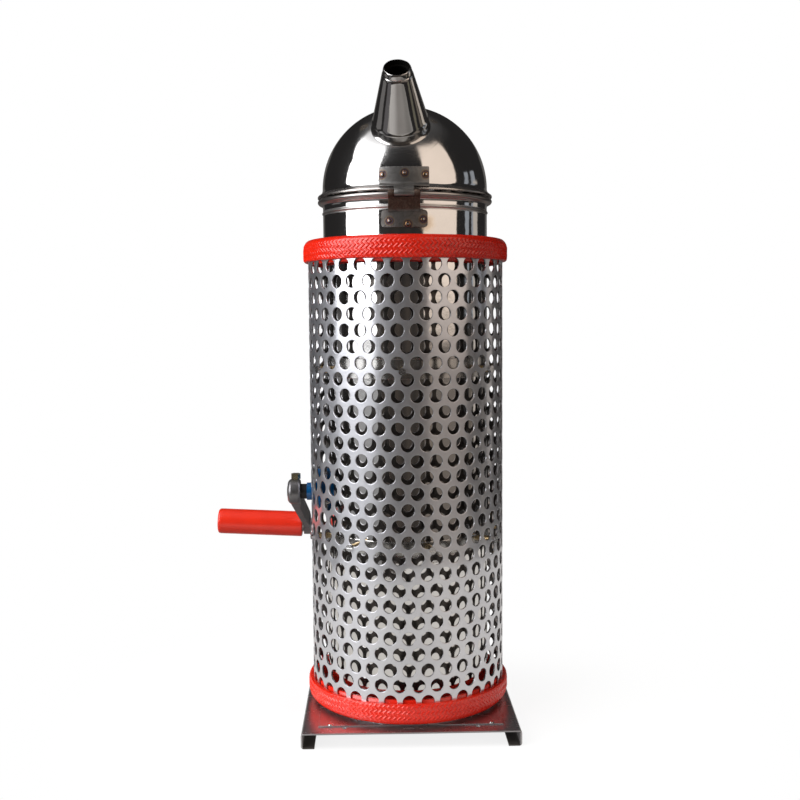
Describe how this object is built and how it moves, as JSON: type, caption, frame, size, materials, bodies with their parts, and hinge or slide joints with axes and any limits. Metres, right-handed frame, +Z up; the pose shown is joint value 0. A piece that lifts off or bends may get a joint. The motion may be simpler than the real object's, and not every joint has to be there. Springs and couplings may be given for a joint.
{
  "type": "bee smoker",
  "caption": "Hand-cranked bee smoker: hinged domed lid with a conical spout on stacked steel cans, a geared blower inside and a perforated guard cage on a flat base.",
  "frame": {"origin": "centre of the base plate's top face, where the four mounting holes open, on the axis of the cans; the ground is 11.6 mm lower", "axes": "+Z up along the cans; the spout and lid hinge face -Y; the crank comes out on the -X side"},
  "size_m": [0.2384, 0.1703, 0.5],
  "materials": {
    "base_steel": "satin cold-rolled stainless sheet",
    "fastener_steel": "bright zinc-plated or stainless",
    "mirror_steel": "mirror-polished stainless sheet",
    "satin_steel": "satin stainless",
    "cage_steel": "bright rolled perforated sheet, semi-gloss",
    "red_rubber": "embossed flexible edge trim, semi-matte",
    "brass": "turned",
    "blue_paint": "gloss blue enamel",
    "black_steel": "black oxide",
    "gear_steel": "machined, oiled",
    "cast_metal": "as-cast satin grey",
    "zinc_yellow": "yellow-passivated zinc",
    "red_plastic": "smooth moulded, semi-gloss",
    "fan_aluminium": "plain sheet",
    "hinge_steel": "plain steel, heat tinted round the welds",
    "rusty_steel": "brown oxidised neck on a dull steel plate",
    "rivet_steel": "bright, heat tinted rims"
  },
  "bodies": {
    "chassis": {"base_plate": "base_steel", "base_doubler": "base_steel", "base_rivets": "fastener_steel", "base_screws": "fastener_steel", "base_nuts": "fastener_steel", "lower_can": "mirror_steel", "partition_pan": "satin_steel", "lower_band": "satin_steel", "fan_can": "mirror_steel", "upper_band": "satin_steel", "fire_grate": "satin_steel", "fire_can": "mirror_steel", "guard_cage": "cage_steel", "bottom_trim": "red_rubber", "top_trim": "red_rubber", "spacer_bushes": "brass", "cage_screws": "fastener_steel", "cage_nuts": "fastener_steel", "gear_case": "blue_paint", "gear_case_cover": "blue_paint", "case_screws": "fastener_steel", "crank_housing": "blue_paint", "housing_screws": "fastener_steel", "outer_crank_bush": "brass", "inner_crank_bush": "brass", "idler_pin": "satin_steel", "fan_bushes": "brass", "hinge_lower_leaf": "rusty_steel", "hinge_lower_rivets": "rivet_steel", "hinge_pin": "fastener_steel"},
    "crank": {"crank_shaft": "satin_steel", "shaft_collar": "black_steel", "drive_gear": "gear_steel", "crank_arm": "cast_metal", "crank_set_screw": "zinc_yellow", "grip_spindle": "satin_steel"},
    "grip": {"grip": "red_plastic", "grip_end_cap": "red_plastic"},
    "idler": {"idler_gear": "gear_steel"},
    "fan": {"fan_shaft": "satin_steel", "fan_pinion": "brass", "fan_impeller": "fan_aluminium", "fan_nut": "fastener_steel"},
    "lid": {"hinge_upper_leaf": "hinge_steel", "hinge_upper_rivets": "rivet_steel", "lid_dome": "mirror_steel", "spout_collar": "mirror_steel", "spout_cone": "mirror_steel"}
  },
  "joints": [
    {"name": "lid_hinge", "type": "hinge", "parent": "chassis", "child": "lid", "pos_m": [-0.00248, -0.07096, 0.3954], "axis": [0.9994, -0.0349, 0], "range_deg": [0, 110]},
    {"name": "crank_spin", "type": "hinge", "parent": "chassis", "child": "crank", "pos_m": [-0.09, 0, 0.1674], "axis": [1, 0, 0], "continuous": true},
    {"name": "grip_spin", "type": "hinge", "parent": "crank", "child": "grip", "pos_m": [-0.085, 0.03224, 0.13459], "axis": [0.9987, 0, -0.0506], "continuous": true},
    {"name": "idler_spin", "type": "hinge", "parent": "chassis", "child": "idler", "pos_m": [-0.039, 0, 0.1974], "axis": [1, 0, 0], "continuous": true},
    {"name": "fan_spin", "type": "hinge", "parent": "chassis", "child": "fan", "pos_m": [-0.01, 0, 0.2184], "axis": [1, 0, 0], "continuous": true}
  ],
  "couplings": [
    {"joint": "idler_spin", "follows": "crank_spin", "ratio": -4},
    {"joint": "fan_spin", "follows": "crank_spin", "ratio": 10}
  ]
}
